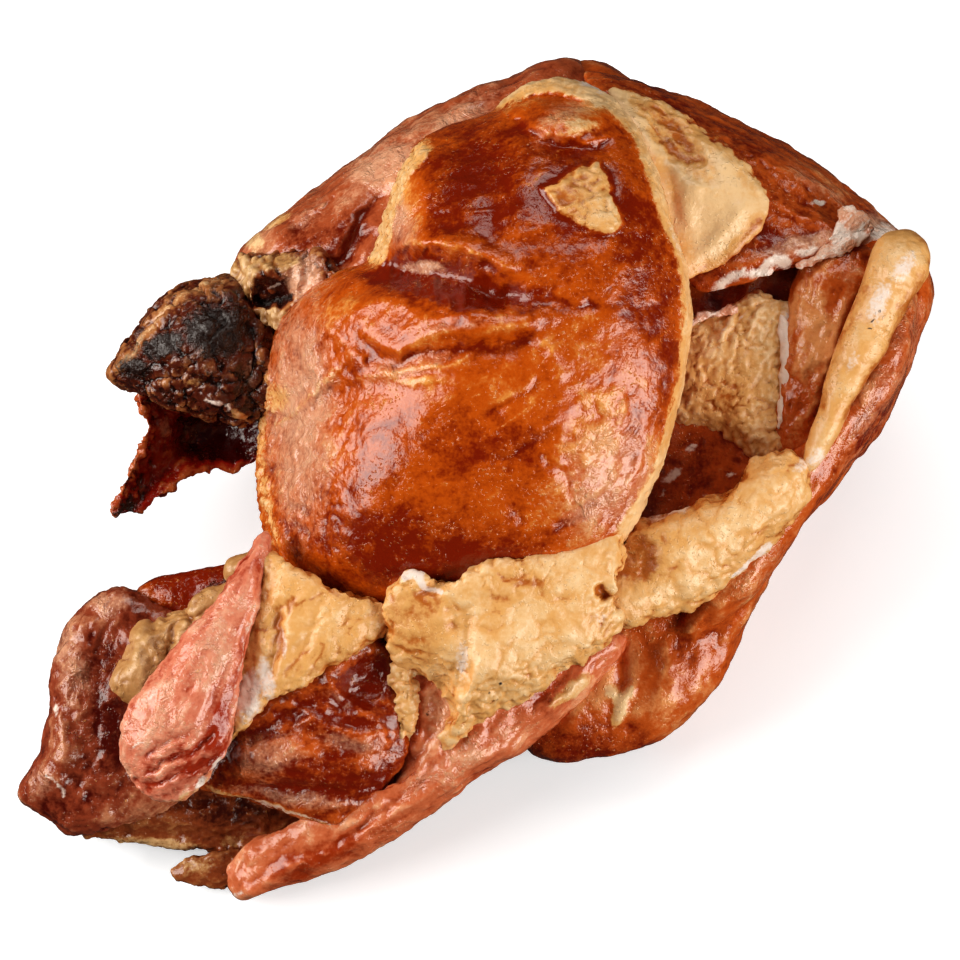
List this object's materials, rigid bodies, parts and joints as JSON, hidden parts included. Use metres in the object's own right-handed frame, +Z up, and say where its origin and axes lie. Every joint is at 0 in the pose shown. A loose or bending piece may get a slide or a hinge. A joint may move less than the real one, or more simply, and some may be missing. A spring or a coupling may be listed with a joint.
{
  "type": "smoked pork tail",
  "caption": "Thick rump end of a smoked pork tail: a glossy meat dome with folds of fat, side flaps and a charred root.",
  "frame": {"origin": "on the floor under the middle of the piece's box", "axes": "+Z up, +X towards the broad rump end's fat roll, -Y towards the viewer, with the flaps and charred root at -X"},
  "size_m": [0.2009, 0.1814, 0.1014],
  "materials": {
    "smoked_meat": "glossy smoked skin with cream fat"
  },
  "bodies": {
    "root": {"pork_tail": "smoked_meat"}
  },
  "joints": []
}
